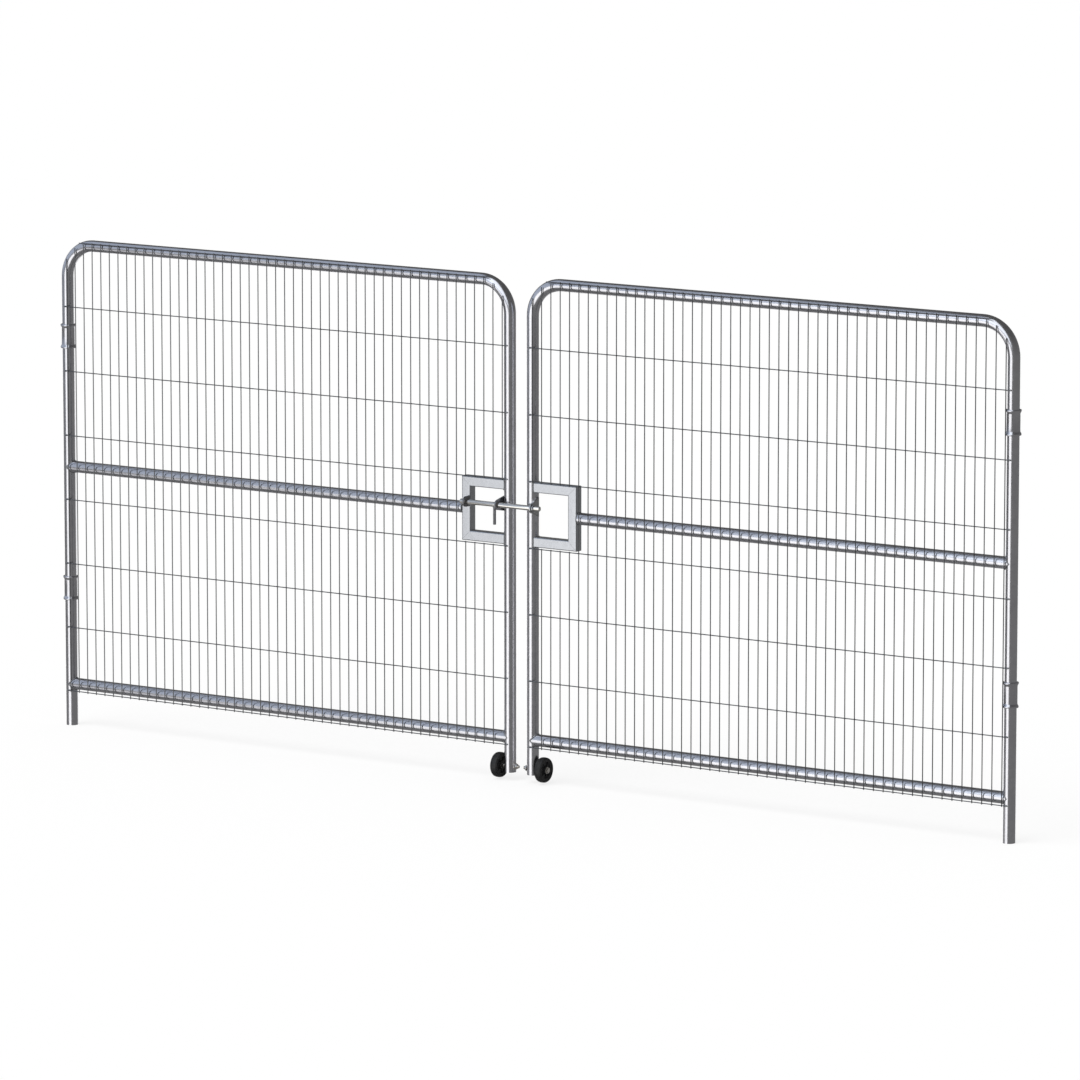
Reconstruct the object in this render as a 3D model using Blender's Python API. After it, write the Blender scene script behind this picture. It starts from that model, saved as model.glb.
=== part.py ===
import bpy
import bmesh
import math
from mathutils import Matrix, Vector

# A double-leaf mesh gate for a fenced site. Metres, +Z up. The two leaves lie in the XZ plane,
# the welded mesh is on the -Y side. The origin is on the underside of the left lower sleeve.

# Leaf frames: one round tube bent into an inverted U, with two round cross rails
GATE_HEIGHT = 2.0
LEAF_AXIS_SPACING = 2.140
MEETING_AXIS_SPACING = 0.1066
TUBE_DIAMETER = 0.0483
TUBE_WALL = 0.0020
BEND_RADIUS = 0.131
MEETING_STILE_LIFT = 0.032
MID_RAIL_HEIGHT = 1.0675
BOTTOM_RAIL_HEIGHT = 0.171

# Welded mesh on the front of each leaf
WIRE_DIAMETER = 0.0035
WIRE_COUNT = 50
WIRE_INSET = 0.0165
ROW_COUNT = 8
LOWEST_ROW_HEIGHT = 0.145
TOP_ROW_DROP = 0.0119
WIRE_OVERHANG = 0.004
WELD_BITE = 0.0004
ROW_END_INSET = 0.001

# Square lock frame round the hand opening at each meeting stile
LOCK_SECTION = 0.040
LOCK_WALL = 0.0025
LOCK_REACH = 0.214
LOCK_FRAME_HEIGHT = 0.256

# Slide bolt, its guides and its keeper
BOLT_DIAMETER = 0.020
BOLT_DROP = 0.097
BOLT_FORWARD = 0.048
BOLT_TAIL = 0.200
BOLT_REACH = 0.064
BOLT_PLAY = 0.0006
HANDLE_DIAMETER = 0.012
HANDLE_DROP = 0.080
HANDLE_SETBACK = 0.041
LUG_THICKNESS = 0.006
LUG_NOSE_RADIUS = 0.0185
LUG_BASE_HEIGHT = 0.062
LUG_BASE_DEPTH = 0.006
OUTER_LUG_BASE_HEIGHT = 0.043
KEEPER_BASE_HEIGHT = 0.078
KEEPER_BASE_DEPTH = -0.002

# Sleeves on the outer stiles, held in the neighbouring fence and turned in by the leaves
SLEEVE_PLAY = 0.0004
SLEEVE_WALL = 0.0020
SLEEVE_LENGTH = 0.098
SLEEVE_FLANGE_RADIUS = 0.0315
SLEEVE_FLANGE_EDGE = 0.004
SLEEVE_FLANGE_TAPER = 0.006
SLEEVE_FACE_WIDTH = 0.0045
LOWER_SLEEVE_HEIGHT = 0.568
UPPER_SLEEVE_DROP = 0.398

# Wheel beside the foot of each meeting stile
WHEEL_DIAMETER = 0.100
WHEEL_WIDTH = 0.030
WHEEL_FLOOR_CLEARANCE = 0.0055
WHEEL_STILE_GAP = 0.0109
TREAD_DEPTH = 0.013
TREAD_CROWN = 0.003
HUB_WEB_WIDTH = 0.012
HUB_BOSS_RADIUS = 0.015
AXLE_DIAMETER = 0.012
AXLE_PLAY = 0.0005
AXLE_END_PLAY = 0.0005
AXLE_HEAD_LENGTH = 0.008
AXLE_NUT_LENGTH = 0.010
AXLE_TAIL = 0.008
HEX_ACROSS_FLATS = 0.019
SPACER_RADIUS = 0.010

# Clearance between separate pieces that touch
SEAT_GAP = 0.0003

# How finely the round pieces are divided
TUBE_SIDES = 12
BEND_STEPS = 6
ROD_SIDES = 12
NOSE_STEPS = 8
WHEEL_SIDES = 20
SLEEVE_SIDES = 16

# Worked out from the sizes above
TUBE_RADIUS = TUBE_DIAMETER / 2
AXLE_RADIUS = AXLE_DIAMETER / 2
BOLT_RADIUS = BOLT_DIAMETER / 2
SLEEVE_BORE = (TUBE_RADIUS + SLEEVE_PLAY) / math.cos(math.pi / SLEEVE_SIDES)
SLEEVE_FACE_RADIUS = SLEEVE_BORE + SLEEVE_FACE_WIDTH / 2
FEET_Z = SLEEVE_LENGTH / 2 - LOWER_SLEEVE_HEIGHT
LEFT_HINGE_X = SLEEVE_FACE_RADIUS
LEFT_MEETING_X = LEFT_HINGE_X + LEAF_AXIS_SPACING
RIGHT_MEETING_X = LEFT_MEETING_X + MEETING_AXIS_SPACING
RIGHT_HINGE_X = RIGHT_MEETING_X + LEAF_AXIS_SPACING
TOP_RAIL_HEIGHT = GATE_HEIGHT - TUBE_RADIUS
WHEEL_HEIGHT = WHEEL_FLOOR_CLEARANCE + WHEEL_DIAMETER / 2
UPPER_SLEEVE_HEIGHT = GATE_HEIGHT - UPPER_SLEEVE_DROP
LOCK_FRAME_CENTRE = MID_RAIL_HEIGHT
BOLT_HEIGHT = LOCK_FRAME_CENTRE + LOCK_FRAME_HEIGHT / 2 - BOLT_DROP
WIRE_HALF = math.sqrt(math.pi / 8) * WIRE_DIAMETER
ROW_Y = -(TUBE_RADIUS + SEAT_GAP + WIRE_HALF)
WIRE_Y = ROW_Y - 2 * WIRE_HALF + WELD_BITE
TOP_ROW_HEIGHT = GATE_HEIGHT - TOP_ROW_DROP
ROW_PITCH = (TOP_ROW_HEIGHT - LOWEST_ROW_HEIGHT) / (ROW_COUNT - 1)
WIRE_PITCH = (LEAF_AXIS_SPACING - 2 * WIRE_INSET) / (WIRE_COUNT - 1)


def clear_scene():
    for item in list(bpy.data.objects):
        bpy.data.objects.remove(item)


def make_material(name, colour, roughness, metallic):
    material = bpy.data.materials.new(name)
    material.use_nodes = True
    shader = material.node_tree.nodes["Principled BSDF"]
    shader.inputs["Base Color"].default_value = (*colour, 1.0)
    shader.inputs["Roughness"].default_value = roughness
    shader.inputs["Metallic"].default_value = metallic
    material.diffuse_color = (*colour, 1.0)
    return material


def make_materials():
    return {
        "tube": make_material("galvanised_tube", (0.52, 0.53, 0.54), 0.42, 0.9),
        "wire": make_material("galvanised_wire", (0.58, 0.59, 0.60), 0.45, 0.9),
        "section": make_material("galvanised_section", (0.60, 0.61, 0.62), 0.5, 0.85),
        "sleeve": make_material("sleeve_steel", (0.45, 0.46, 0.47), 0.4, 0.9),
        "bolt": make_material("zinc_bolt", (0.55, 0.56, 0.58), 0.32, 0.95),
        "tyre": make_material("black_tyre", (0.02, 0.02, 0.021), 0.7, 0.0),
        "hub": make_material("hub_plastic", (0.05, 0.05, 0.052), 0.5, 0.0),
    }


def finish_object(name, mesh_builder, material, location, parent=None, flip_x=False):
    if flip_x:
        bmesh.ops.scale(mesh_builder, vec=(-1, 1, 1), verts=mesh_builder.verts)
    bmesh.ops.recalc_face_normals(mesh_builder, faces=mesh_builder.faces)
    mesh = bpy.data.meshes.new(name)
    mesh_builder.to_mesh(mesh)
    mesh_builder.free()
    mesh.materials.append(material)
    mesh.shade_smooth()
    mesh.set_sharp_from_angle(angle=math.radians(35))
    item = bpy.data.objects.new(name, mesh)
    bpy.context.collection.objects.link(item)
    item.location = location
    if parent is not None:
        item.parent = parent
        item.location = Vector(location) - parent.location
    return item


def add_axis_empty(name, location, parent=None):
    empty = bpy.data.objects.new(name, None)
    bpy.context.collection.objects.link(empty)
    empty.location = location
    if parent is not None:
        empty.parent = parent
        empty.location = Vector(location) - parent.location
    return empty


def add_cutter(name, mesh_builder, location=(0, 0, 0)):
    bmesh.ops.recalc_face_normals(mesh_builder, faces=mesh_builder.faces)
    mesh = bpy.data.meshes.new(name)
    mesh_builder.to_mesh(mesh)
    mesh_builder.free()
    cutter = bpy.data.objects.new(name, mesh)
    bpy.context.collection.objects.link(cutter)
    cutter.location = location
    cutter.hide_render = True
    cutter.display_type = "WIRE"
    return cutter


def cut(item, cutter, operation="DIFFERENCE"):
    boolean = item.modifiers.new("fit_" + cutter.name, "BOOLEAN")
    boolean.object = cutter
    boolean.operation = operation
    boolean.solver = "EXACT"


def circle_points(radius, sides):
    step = 2 * math.pi / sides
    return [(radius * math.cos(i * step), radius * math.sin(i * step)) for i in range(sides)]


def add_loop(builder, points):
    return [builder.verts.new(point) for point in points]


def bridge_pair(builder, first, second):
    count = len(first)
    for i in range(count):
        j = (i + 1) % count
        builder.faces.new((first[i], first[j], second[j], second[i]))


def swept_tube(path, outer_radius, inner_radius, sides):
    """A hollow round tube along a planar path of (x, z, direction angle) stations."""
    builder = bmesh.new()
    outer_loops = []
    inner_loops = []
    for x, z, angle in path:
        across = Vector((math.cos(angle), 0, math.sin(angle)))
        for radius, loops in ((outer_radius, outer_loops), (inner_radius, inner_loops)):
            ring = [Vector((x, 0, z)) + across * u + Vector((0, v, 0))
                    for u, v in circle_points(radius, sides)]
            loops.append(add_loop(builder, ring))
    for loops in (outer_loops, inner_loops):
        for first, second in zip(loops, loops[1:]):
            bridge_pair(builder, first, second)
    for end in (0, -1):
        bridge_pair(builder, outer_loops[end], inner_loops[end])
    return builder


def add_bar(builder, points, depth_axis, low, high):
    loops = []
    for level in (low, high):
        loop = []
        for point in points:
            corner = list(point)
            corner.insert(depth_axis, level)
            loop.append(builder.verts.new(corner))
        loops.append(loop)
    bridge_pair(builder, loops[0], loops[1])
    builder.faces.new(loops[0])
    builder.faces.new(loops[1])


def prism(points, depth_axis, low, high):
    """A closed prism: the 2-D points are the other two axes, in order, from low to high."""
    builder = bmesh.new()
    add_bar(builder, points, depth_axis, low, high)
    return builder


def turned(profile, sides, axis="Z"):
    """A closed ring turned from (radius, height) points about Z, or laid along X."""
    builder = bmesh.new()
    loops = []
    for radius, height in profile:
        ring = [(x, y, height) for x, y in circle_points(radius, sides)]
        loops.append(add_loop(builder, ring))
    for first, second in zip(loops, loops[1:] + loops[:1]):
        bridge_pair(builder, first, second)
    if axis == "X":
        turn = Matrix.Rotation(math.radians(90), 3, "Y")
        bmesh.ops.rotate(builder, matrix=turn, verts=builder.verts)
    return builder


def rod(radius, low, high, sides, axis):
    return prism(circle_points(radius, sides), axis, low, high)


# The leaves are made as the left one, with X from the hinge axis towards the meeting stile
# and Z from the feet. The right leaf is its mirror image.

def stile_cutter(name, hinge_x, leaf_x):
    reach = TUBE_RADIUS + SEAT_GAP / math.cos(math.pi / TUBE_SIDES)
    builder = rod(reach, 0, GATE_HEIGHT, TUBE_SIDES, 2)
    return add_cutter(name, builder, (hinge_x + leaf_x, 0, FEET_Z))


def frame_path():
    turn_height = TOP_RAIL_HEIGHT - BEND_RADIUS
    path = [(0, 0, math.pi)]
    for i in range(BEND_STEPS + 1):
        angle = math.pi - i * math.pi / 2 / BEND_STEPS
        x = BEND_RADIUS * (1 + math.cos(angle))
        path.append((x, turn_height + BEND_RADIUS * math.sin(angle), angle))
    for i in range(BEND_STEPS + 1):
        angle = math.pi / 2 - i * math.pi / 2 / BEND_STEPS
        x = LEAF_AXIS_SPACING - BEND_RADIUS * (1 - math.cos(angle))
        path.append((x, turn_height + BEND_RADIUS * math.sin(angle), angle))
    path.append((LEAF_AXIS_SPACING, MEETING_STILE_LIFT, 0))
    return path


def rail_path(start, end, height):
    return [(start, height, math.pi / 2), (end, height, math.pi / 2)]


def lock_bar(corners_outer, corners_inner):
    """One square hollow bar of the lock frame, its ends cut to the given corner points."""
    builder = bmesh.new()
    half = LOCK_SECTION / 2
    inner_half = half - LOCK_WALL
    loops = []
    for (outer_far, outer_near), (inner_far, inner_near) in zip(corners_outer, corners_inner):
        loop_pair = []
        for far, near, depth in ((outer_far, outer_near, half), (inner_far, inner_near, inner_half)):
            ring = [(far[0], -depth, far[1]), (far[0], depth, far[1]),
                    (near[0], depth, near[1]), (near[0], -depth, near[1])]
            loop_pair.append(add_loop(builder, ring))
        loops.append(loop_pair)
    bridge_pair(builder, loops[0][0], loops[1][0])
    bridge_pair(builder, loops[0][1], loops[1][1])
    bridge_pair(builder, loops[0][0], loops[0][1])
    bridge_pair(builder, loops[1][0], loops[1][1])
    return builder


def lock_beam(side):
    """The top (side 1) or bottom (side -1) bar: a mitre at the side bar, square at the stile."""
    outer_x = LEAF_AXIS_SPACING - LOCK_REACH
    far_z = LOCK_FRAME_CENTRE + side * LOCK_FRAME_HEIGHT / 2
    near_z = far_z - side * LOCK_SECTION
    slit = SEAT_GAP / 2 * math.sqrt(2)
    wall = LOCK_WALL
    outer = [((outer_x + slit, far_z), (outer_x + slit + LOCK_SECTION, near_z)),
             ((LEAF_AXIS_SPACING, far_z), (LEAF_AXIS_SPACING, near_z))]
    inner = [((outer_x + slit + wall, far_z - side * wall),
              (outer_x + slit + LOCK_SECTION - wall, near_z + side * wall)),
             ((LEAF_AXIS_SPACING, far_z - side * wall), (LEAF_AXIS_SPACING, near_z + side * wall))]
    return lock_bar(outer, inner)


def lock_upright():
    """The side bar of the lock frame, mitred at both ends."""
    outer_x = LEAF_AXIS_SPACING - LOCK_REACH
    inner_x = outer_x + LOCK_SECTION
    slit = SEAT_GAP / 2 * math.sqrt(2)
    wall = LOCK_WALL
    outer = []
    inner = []
    for side in (-1, 1):
        far_z = LOCK_FRAME_CENTRE + side * (LOCK_FRAME_HEIGHT / 2 - slit)
        near_z = far_z - side * LOCK_SECTION
        outer.append(((outer_x, far_z), (inner_x, near_z)))
        inner.append(((outer_x + wall, far_z - side * wall), (inner_x - wall, near_z + side * wall)))
    return lock_bar(outer, inner)


def lug_outline(base_y, base_height):
    """A teardrop in (y, z): a round nose about the bolt, tangent lines back to a straight base."""
    run = base_y + BOLT_FORWARD
    rise = base_height / 2
    reach = math.hypot(run, rise)
    tangent = math.atan2(rise, run) + math.acos(LUG_NOSE_RADIUS / reach)
    points = [(base_y, BOLT_HEIGHT - rise), (base_y, BOLT_HEIGHT + rise)]
    for i in range(NOSE_STEPS + 1):
        angle = tangent + i * (2 * math.pi - 2 * tangent) / NOSE_STEPS
        y = LUG_NOSE_RADIUS * math.cos(angle) - BOLT_FORWARD
        points.append((y, BOLT_HEIGHT + LUG_NOSE_RADIUS * math.sin(angle)))
    return points


def bolt_hole_cutter(name, low_x, high_x):
    hole_radius = (BOLT_RADIUS + BOLT_PLAY) / math.cos(math.pi / ROD_SIDES)
    builder = rod(hole_radius, low_x, high_x, ROD_SIDES, 0)
    return add_cutter(name, builder, (0, -BOLT_FORWARD, FEET_Z + BOLT_HEIGHT))


def top_of_wire(inset):
    """Where an upright wire ends: just past the top row, or on the bend of the tube."""
    if inset >= BEND_RADIUS:
        return TOP_ROW_HEIGHT + WIRE_OVERHANG
    bend = TOP_RAIL_HEIGHT - BEND_RADIUS + math.sqrt(BEND_RADIUS ** 2 - (BEND_RADIUS - inset) ** 2)
    return min(TOP_ROW_HEIGHT + WIRE_OVERHANG, bend + TUBE_RADIUS / 2)


def row_end(height):
    """How far inside the stile axes a row ends: on the axis, or on the bend of the tube."""
    bend_centre = TOP_RAIL_HEIGHT - BEND_RADIUS
    if height <= bend_centre:
        return ROW_END_INSET
    reach = (BEND_RADIUS + TUBE_RADIUS) ** 2 - (height - bend_centre) ** 2
    return BEND_RADIUS - math.sqrt(reach) + 2 * WIRE_DIAMETER


def diamond(centre_a, centre_b):
    return [(centre_a + WIRE_HALF, centre_b), (centre_a, centre_b + WIRE_HALF),
            (centre_a - WIRE_HALF, centre_b), (centre_a, centre_b - WIRE_HALF)]


def row_heights():
    return [LOWEST_ROW_HEIGHT + i * ROW_PITCH for i in range(ROW_COUNT)]


def wire_spans(inset):
    """The stretches of one upright wire: whole, or cut out at the lock frame.

    The wire in front of the meeting stile is left only above the lock frame."""
    foot = LOWEST_ROW_HEIGHT - WIRE_OVERHANG
    head = top_of_wire(min(inset, LEAF_AXIS_SPACING - inset))
    from_meeting = LEAF_AXIS_SPACING - inset
    if from_meeting > LOCK_REACH:
        return [(foot, head)]
    below = max(h for h in row_heights() if h < LOCK_FRAME_CENTRE)
    above = min(h for h in row_heights() if h > LOCK_FRAME_CENTRE)
    spans = [(above - WIRE_OVERHANG, head)]
    if from_meeting > TUBE_RADIUS:
        spans.append((foot, below + WIRE_OVERHANG))
    return spans


def upright_wires():
    """All upright wires of a leaf, as separate four-sided bars in one mesh."""
    builder = bmesh.new()
    for i in range(WIRE_COUNT):
        inset = WIRE_INSET + i * WIRE_PITCH
        for low, high in wire_spans(inset):
            add_bar(builder, diamond(inset, WIRE_Y), 2, low, high)
    return builder


def level_wires():
    """All level wires of a leaf, behind the upright ones and against the tubes."""
    builder = bmesh.new()
    for height in row_heights():
        end = row_end(height)
        add_bar(builder, diamond(ROW_Y, height), 0, end, LEAF_AXIS_SPACING - end)
    return builder


def mirror_mesh(cutter):
    cutter.data.transform(Matrix.Scale(-1, 4, (1, 0, 0)))
    cutter.data.flip_normals()


def make_leaf(side, hinge_x, materials):
    """One leaf on its hinge axis. The left leaf runs to +X, the right one is mirrored."""
    mirrored = side == "right"
    sign = -1 if mirrored else 1
    axis = add_axis_empty(side + "_leaf_hinge_axis", (hinge_x, 0, FEET_Z))

    def place(name, builder, material):
        return finish_object(f"{side}_{name}", builder, materials[material],
                             (hinge_x, 0, FEET_Z), axis, mirrored)

    inner_radius = TUBE_RADIUS - TUBE_WALL
    outer_cutter = stile_cutter(side + "_outer_stile_cutter", hinge_x, 0)
    meeting_cutter = stile_cutter(side + "_meeting_stile_cutter", hinge_x, sign * LEAF_AXIS_SPACING)
    axle_hole = (AXLE_RADIUS + SEAT_GAP) / math.cos(math.pi / ROD_SIDES)
    axle_cutter = add_cutter(side + "_axle_cutter",
                             rod(axle_hole, -TUBE_DIAMETER, TUBE_DIAMETER, ROD_SIDES, 0),
                             (hinge_x + sign * LEAF_AXIS_SPACING, 0, FEET_Z + WHEEL_HEIGHT))

    frame = place("frame_tube", swept_tube(frame_path(), TUBE_RADIUS, inner_radius, TUBE_SIDES),
                  "tube")
    cut(frame, axle_cutter)

    lock_x = LEAF_AXIS_SPACING - LOCK_REACH - SEAT_GAP
    mid_rail = place("mid_rail", swept_tube(rail_path(0, lock_x, MID_RAIL_HEIGHT),
                                            TUBE_RADIUS, inner_radius, TUBE_SIDES), "tube")
    cut(mid_rail, outer_cutter)
    bottom_rail = place("bottom_rail", swept_tube(
        rail_path(0, LEAF_AXIS_SPACING, BOTTOM_RAIL_HEIGHT), TUBE_RADIUS, inner_radius, TUBE_SIDES),
        "tube")
    cut(bottom_rail, outer_cutter)
    cut(bottom_rail, meeting_cutter)

    for name, vertical in (("lock_top_bar", 1), ("lock_bottom_bar", -1)):
        bar = place(name, lock_beam(vertical), "section")
        cut(bar, meeting_cutter)
    place("lock_side_bar", lock_upright(), "section")

    mesh_panel = place("mesh_panel", upright_wires(), "wire")
    rows = add_cutter(side + "_level_wires", level_wires(), (hinge_x, 0, FEET_Z))
    if mirrored:
        mirror_mesh(rows)
    cut(mesh_panel, rows, "UNION")
    return axis


def make_lug(name, low_x, base_y, base_height, material, axis):
    lug = finish_object(name, prism(lug_outline(base_y, base_height), 0, low_x,
                                    low_x + LUG_THICKNESS),
                        material, (0, 0, FEET_Z), axis)
    cut(lug, bolt_hole_cutter(name + "_cutter", low_x - LUG_THICKNESS, low_x + 2 * LUG_THICKNESS))
    return lug


def make_lock_fittings(left_axis, right_axis, materials):
    """Guides and keeper in line, then the round bolt with its hanging handle."""
    steel = materials["bolt"]
    stile_side = TUBE_RADIUS + SEAT_GAP
    guide_x = LEFT_MEETING_X - LOCK_REACH + LOCK_SECTION - LUG_THICKNESS
    make_lug("left_outer_bolt_guide", guide_x, -LOCK_SECTION / 2 - SEAT_GAP,
             OUTER_LUG_BASE_HEIGHT, steel, left_axis)
    make_lug("left_inner_bolt_guide", LEFT_MEETING_X - stile_side - LUG_THICKNESS,
             LUG_BASE_DEPTH, LUG_BASE_HEIGHT, steel, left_axis)
    make_lug("right_bolt_keeper", RIGHT_MEETING_X + stile_side,
             KEEPER_BASE_DEPTH, KEEPER_BASE_HEIGHT, steel, right_axis)

    bolt_axis = add_axis_empty("slide_bolt_axis",
                               (LEFT_MEETING_X, -BOLT_FORWARD, FEET_Z + BOLT_HEIGHT), left_axis)
    bolt_place = (LEFT_MEETING_X, -BOLT_FORWARD, FEET_Z + BOLT_HEIGHT)
    bar = rod(BOLT_RADIUS, -BOLT_TAIL, MEETING_AXIS_SPACING + BOLT_REACH, ROD_SIDES, 0)
    place_on_axis("bolt_bar", bar, steel, bolt_place, bolt_axis, left_axis)
    handle = rod(HANDLE_DIAMETER / 2, -HANDLE_DROP, -BOLT_RADIUS - SEAT_GAP, ROD_SIDES, 2)
    bmesh.ops.translate(handle, vec=(-HANDLE_SETBACK, 0, 0), verts=handle.verts)
    place_on_axis("bolt_handle", handle, steel, bolt_place, bolt_axis, left_axis)


def place_on_axis(name, builder, material, location, empty, grandparent):
    """A piece at a child axis: the empty's own location is counted from its parent."""
    item = finish_object(name, builder, material, location)
    item.parent = empty
    item.location = Vector(location) - empty.location - grandparent.location
    return item


def sleeve_profile():
    barrel = SLEEVE_BORE + SLEEVE_WALL
    half = SLEEVE_LENGTH / 2
    face = SLEEVE_BORE + SLEEVE_FACE_WIDTH
    chamfer = SLEEVE_FLANGE_RADIUS - face
    edge = half - chamfer
    shoulder = edge - SLEEVE_FLANGE_EDGE
    neck = shoulder - SLEEVE_FLANGE_TAPER
    upper = [(SLEEVE_BORE, half), (face, half), (SLEEVE_FLANGE_RADIUS, edge),
             (SLEEVE_FLANGE_RADIUS, shoulder), (barrel, neck)]
    lower = [(radius, -height) for radius, height in reversed(upper)]
    return upper + lower


def make_sleeves(materials):
    for side, hinge_x in (("left", LEFT_HINGE_X), ("right", RIGHT_HINGE_X)):
        for level, height in (("upper", UPPER_SLEEVE_HEIGHT), ("lower", LOWER_SLEEVE_HEIGHT)):
            finish_object(f"{side}_{level}_sleeve", turned(sleeve_profile(), SLEEVE_SIDES),
                          materials["sleeve"], (hinge_x, 0, FEET_Z + height))


def tyre_profile():
    half = WHEEL_WIDTH / 2
    outer = WHEEL_DIAMETER / 2
    inner = outer - TREAD_DEPTH
    return [(inner, half - TREAD_CROWN), (outer - 2 * TREAD_CROWN, half), (outer, half - 2 * TREAD_CROWN),
            (outer, 2 * TREAD_CROWN - half), (outer - 2 * TREAD_CROWN, -half), (inner, TREAD_CROWN - half)]


def hub_profile():
    half = WHEEL_WIDTH / 2
    rim = WHEEL_DIAMETER / 2 - TREAD_DEPTH - SEAT_GAP
    bore = (AXLE_RADIUS + AXLE_PLAY) / math.cos(math.pi / WHEEL_SIDES)
    rim_half = half - TREAD_CROWN
    web = HUB_WEB_WIDTH / 2
    lip = rim - TREAD_CROWN
    upper = [(bore, half), (HUB_BOSS_RADIUS, half), (HUB_BOSS_RADIUS, web), (lip, web),
             (lip, rim_half), (rim, rim_half)]
    lower = [(radius, -height) for radius, height in reversed(upper)]
    return upper + lower


def hexagon():
    corner = HEX_ACROSS_FLATS / math.sqrt(3)
    return [(corner * math.sin(i * math.pi / 3), corner * math.cos(i * math.pi / 3)) for i in range(6)]


def make_wheel(side, hinge_x, leaf_axis, materials):
    """Wheel, through bolt, nut and spacer beside the foot of one meeting stile.

    Made as on the left leaf, with X from the meeting stile's axis: the wheel is at -X."""
    mirrored = side == "right"
    sign = -1 if mirrored else 1
    centre = (hinge_x + sign * LEAF_AXIS_SPACING, 0, FEET_Z + WHEEL_HEIGHT)
    wheel_axis = add_axis_empty(side + "_wheel_axis", centre, leaf_axis)
    near = TUBE_RADIUS + WHEEL_STILE_GAP
    far = near + WHEEL_WIDTH

    def place(name, builder, material, parent):
        item = finish_object(f"{side}_{name}", builder, materials[material], centre, None, mirrored)
        item.parent = parent
        item.location = Vector(centre) - leaf_axis.location
        if parent is wheel_axis:
            item.location = (0, 0, 0)
        return item

    for name, profile, material in (("wheel_tyre", tyre_profile(), "tyre"),
                                    ("wheel_hub", hub_profile(), "hub")):
        ring = turned(profile, WHEEL_SIDES, "X")
        bmesh.ops.translate(ring, vec=(-(near + far) / 2, 0, 0), verts=ring.verts)
        place(name, ring, material, wheel_axis)

    nut_seat = TUBE_RADIUS + SEAT_GAP
    shank_end = nut_seat + AXLE_NUT_LENGTH + AXLE_TAIL
    head_seat = far + AXLE_END_PLAY
    axle = place("wheel_axle", rod(AXLE_RADIUS, -head_seat - AXLE_HEAD_LENGTH / 2, shank_end,
                                   ROD_SIDES, 0), "bolt", leaf_axis)
    head = add_cutter(side + "_axle_head",
                      prism(hexagon(), 0, -head_seat - AXLE_HEAD_LENGTH, -head_seat), centre)
    if mirrored:
        mirror_mesh(head)
    cut(axle, head, "UNION")

    nut = place("wheel_nut", prism(hexagon(), 0, nut_seat, nut_seat + AXLE_NUT_LENGTH),
                "bolt", leaf_axis)
    bore = (AXLE_RADIUS + SEAT_GAP) / math.cos(math.pi / ROD_SIDES)
    nut_cutter = add_cutter(side + "_nut_cutter", rod(bore, 0, 2 * shank_end, ROD_SIDES, 0), centre)
    if mirrored:
        mirror_mesh(nut_cutter)
    cut(nut, nut_cutter)
    spacer = [(bore, near - AXLE_END_PLAY), (SPACER_RADIUS, near - AXLE_END_PLAY),
              (SPACER_RADIUS, nut_seat), (bore, nut_seat)]
    spacer_ring = turned([(radius, -height) for radius, height in spacer], ROD_SIDES, "X")
    place("wheel_spacer", spacer_ring, "bolt", leaf_axis)


def build_gate():
    clear_scene()
    materials = make_materials()
    make_sleeves(materials)
    left_axis = make_leaf("left", LEFT_HINGE_X, materials)
    right_axis = make_leaf("right", RIGHT_HINGE_X, materials)
    make_lock_fittings(left_axis, right_axis, materials)
    make_wheel("left", LEFT_HINGE_X, left_axis, materials)
    make_wheel("right", RIGHT_HINGE_X, right_axis, materials)


build_gate()
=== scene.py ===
import bpy
from math import pi, sin, cos, sqrt, radians, degrees, hypot, atan2, acos
from mathutils import Vector, Matrix


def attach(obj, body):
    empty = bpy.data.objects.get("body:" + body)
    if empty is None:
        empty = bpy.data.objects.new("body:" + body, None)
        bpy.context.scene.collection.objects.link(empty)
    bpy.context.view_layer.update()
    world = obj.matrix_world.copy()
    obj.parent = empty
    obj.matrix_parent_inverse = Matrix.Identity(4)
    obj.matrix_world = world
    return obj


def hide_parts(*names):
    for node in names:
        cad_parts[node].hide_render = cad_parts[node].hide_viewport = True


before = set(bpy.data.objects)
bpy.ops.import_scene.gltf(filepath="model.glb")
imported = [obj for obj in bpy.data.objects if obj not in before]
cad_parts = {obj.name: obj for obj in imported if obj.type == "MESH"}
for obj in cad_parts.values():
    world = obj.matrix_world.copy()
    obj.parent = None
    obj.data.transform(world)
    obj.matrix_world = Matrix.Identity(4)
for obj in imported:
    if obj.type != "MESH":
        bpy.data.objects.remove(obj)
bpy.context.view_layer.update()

# Where the leaves stand, in metres. Heights are counted from the feet of the outer posts, and
# the seat is the hair's breadth that a fitting keeps from its tube.
gate = {
    "feetZ": -0.519,
    "leftHingeX": 0.027281,
    "leftMeetingX": 2.167281,
    "middleX": 2.220581,
    "height": 2.0,
    "tubeRadius": 0.02415,
    "tubeWall": 0.002,
    "bendRadius": 0.131,
    "meetingLift": 0.032,
    "midRail": 1.0675,
    "bottomRail": 0.171,
    "lockReach": 0.214,
    "seat": 0.0003,
}


def atHeight(value):
    return gate["feetZ"] + value


def acrossGate(x):
    # the same place on the other leaf
    return 2 * gate["middleX"] - x


def evenly(low, high, steps):
    return [low + (high - low) * i / steps for i in range(steps + 1)]


def roundTurns(steps):
    # the angles of a closed ring
    return [2 * pi * i / steps for i in range(steps)]


# small tools, used like the menus

def deselectAll():
    active = bpy.context.view_layer.objects.active
    if active is not None and active.mode != "OBJECT":
        bpy.ops.object.mode_set(mode="OBJECT")
    bpy.ops.object.select_all(action="DESELECT")


def pickUp(piece):
    deselectAll()
    piece.select_set(True)
    bpy.context.view_layer.objects.active = piece


def rename(piece, name):
    piece.name = name
    piece.data.name = name
    return piece


def settle(piece, name):
    pickUp(piece)
    bpy.ops.object.transform_apply(location=True, rotation=True, scale=True)
    return rename(piece, name)


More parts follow.
